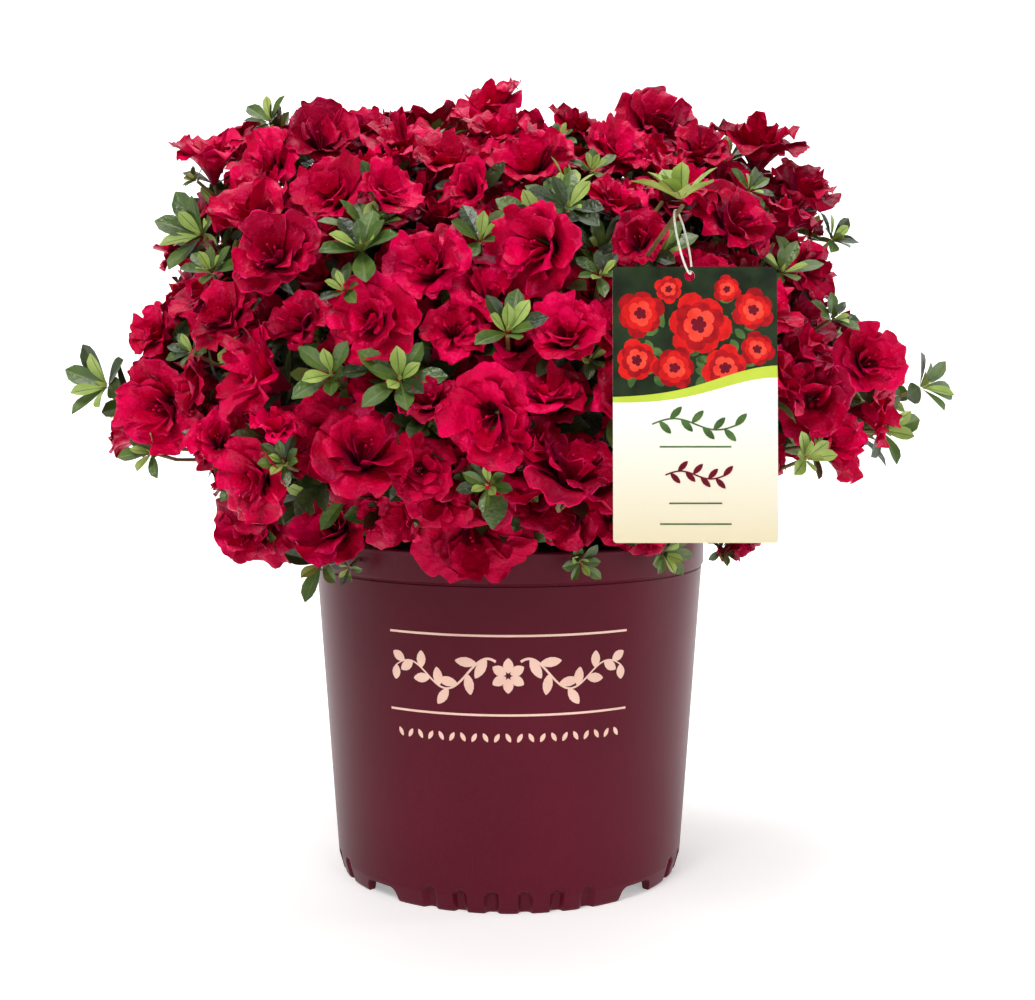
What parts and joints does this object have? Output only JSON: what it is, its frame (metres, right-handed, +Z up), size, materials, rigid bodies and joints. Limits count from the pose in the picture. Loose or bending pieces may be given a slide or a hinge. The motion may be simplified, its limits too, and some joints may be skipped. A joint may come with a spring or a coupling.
{
  "type": "azalea shrub in a nursery pot",
  "caption": "Low rounded azalea shrub with double crimson blossoms and dark green leaf whorls, standing in a tapered burgundy plastic nursery pot, with a hanging plant tag.",
  "frame": {"origin": "on the floor under the middle of the box round the plant and its pot, which is within a few millimetres of the pot's own axis", "axes": "+Z up along the pot's axis, the front with the tag faces -Y, the widest spread of the shrub is along X"},
  "size_m": [0.6343, 0.5867, 0.5627],
  "materials": {
    "burgundy_plastic": "satin",
    "potting_mix": "rough",
    "bark": "rough",
    "crimson_blossom": "soft petal sheen",
    "green_leaf": "satin leaf",
    "tag_card": "satin print",
    "pale_string": "matt"
  },
  "bodies": {
    "root": {"pot": "burgundy_plastic", "potting_mix": "potting_mix", "stem": "bark", "bough_top_right": "bark", "mass_top_right": "crimson_blossom", "bough_top_back": "bark", "mass_top_back": "green_leaf", "bough_top_left": "bark", "mass_top_left": "crimson_blossom", "bough_top_front": "bark", "mass_top_front": "crimson_blossom", "bough_upper_left": "bark", "mass_upper_left": "green_leaf", "bough_upper_front_left": "bark", "mass_upper_front_left": "crimson_blossom", "bough_upper_front_right": "bark", "mass_upper_front_right": "crimson_blossom", "bough_upper_right": "bark", "mass_upper_right": "green_leaf", "bough_upper_back_right": "bark", "mass_upper_back_right": "crimson_blossom", "bough_upper_back_left": "bark", "mass_upper_back_left": "green_leaf", "bough_lower_left": "bark", "mass_lower_left": "green_leaf", "bough_lower_front_left": "bark", "mass_lower_front_left": "crimson_blossom", "bough_lower_front_right": "bark", "mass_lower_front_right": "crimson_blossom", "bough_lower_right": "bark", "mass_lower_right": "green_leaf", "bough_lower_back_right": "bark", "mass_lower_back_right": "green_leaf", "bough_lower_back_left": "bark", "mass_lower_back_left": "crimson_blossom", "tag_card": "tag_card", "tag_loop": "pale_string"}
  },
  "joints": []
}
